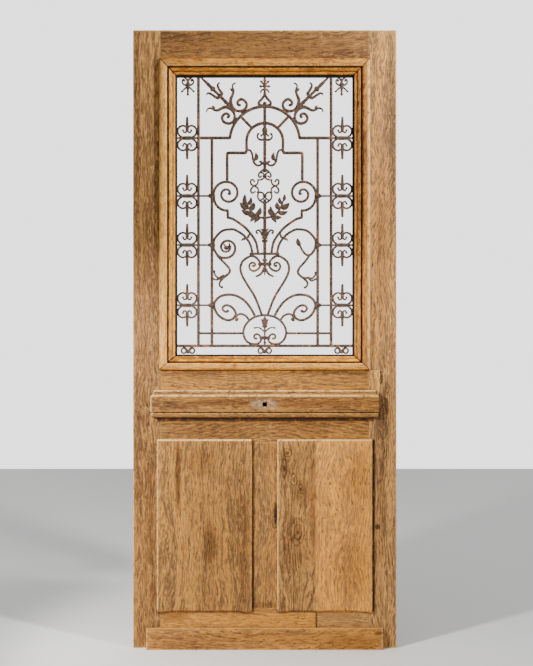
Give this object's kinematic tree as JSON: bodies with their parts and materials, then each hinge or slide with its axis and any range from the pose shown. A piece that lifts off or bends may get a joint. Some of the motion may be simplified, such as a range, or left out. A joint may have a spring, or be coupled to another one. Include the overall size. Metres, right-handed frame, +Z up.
{
  "type": "panelled door leaf with ironwork grille",
  "caption": "Antique oak entrance door leaf with raised lower panels, a moulded waist band, a weatherboard and a forged scrollwork grille in the open upper light.",
  "frame": {"origin": "middle of the hanging stile's outer edge face, halfway up the leaf and in the middle of its thickness", "axes": "+X across the leaf towards the lock stile, +Y towards the back of the door, +Z up"},
  "size_m": [0.96, 0.072, 2.25],
  "materials": {
    "oak": "old waxed oak, worn and stained",
    "weathered_oak": "grey weathered oak",
    "patch_oak": "raw paler oak",
    "iron": "rusted forged iron"
  },
  "bodies": {
    "root": {"stile_left": "oak", "stile_right": "oak", "rail_top": "oak", "rail_lock": "oak", "rail_bottom": "oak", "rail_bottom_repair": "oak", "muntin": "oak", "panel_left": "oak", "panel_right_inner": "oak", "panel_right_outer": "oak", "glazing_moulding_top": "oak", "glazing_moulding_bottom": "oak", "glazing_moulding_left": "oak", "glazing_moulding_right": "oak", "waist_moulding": "oak", "weatherboard": "weathered_oak", "stile_patch": "patch_oak", "grille_frame_left": "iron", "grille_frame_right": "iron", "grille_frame_top": "iron", "grille_frame_bottom": "iron", "upright_outer_left": "iron", "upright_outer_right": "iron", "upright_inner_left": "iron", "upright_inner_right": "iron", "cross_bar_bottom": "iron", "arch_outer": "iron", "arch_inner": "iron", "finial_top": "iron", "spindle": "iron", "wreath": "iron", "bouquet": "iron", "corner_spear_left": "iron", "corner_spear_right": "iron", "pendant_left": "iron", "pendant_right": "iron", "cartouche_left_1": "iron", "cartouche_left_2": "iron", "cartouche_left_3": "iron", "cartouche_left_4": "iron", "cartouche_right_1": "iron", "cartouche_right_2": "iron", "cartouche_right_3": "iron", "cartouche_right_4": "iron", "console_left": "iron", "console_right": "iron", "mid_scroll_left": "iron", "mid_scroll_right": "iron", "lower_scroll_left": "iron", "lower_scroll_right": "iron", "vase_bar": "iron", "lyre_left": "iron", "lyre_right": "iron", "heart_collar": "iron", "ring_bottom": "iron", "low_bar_left": "iron", "low_bar_right": "iron", "foot_scroll_left": "iron", "foot_scroll_centre": "iron", "foot_scroll_right": "iron"}
  },
  "joints": []
}
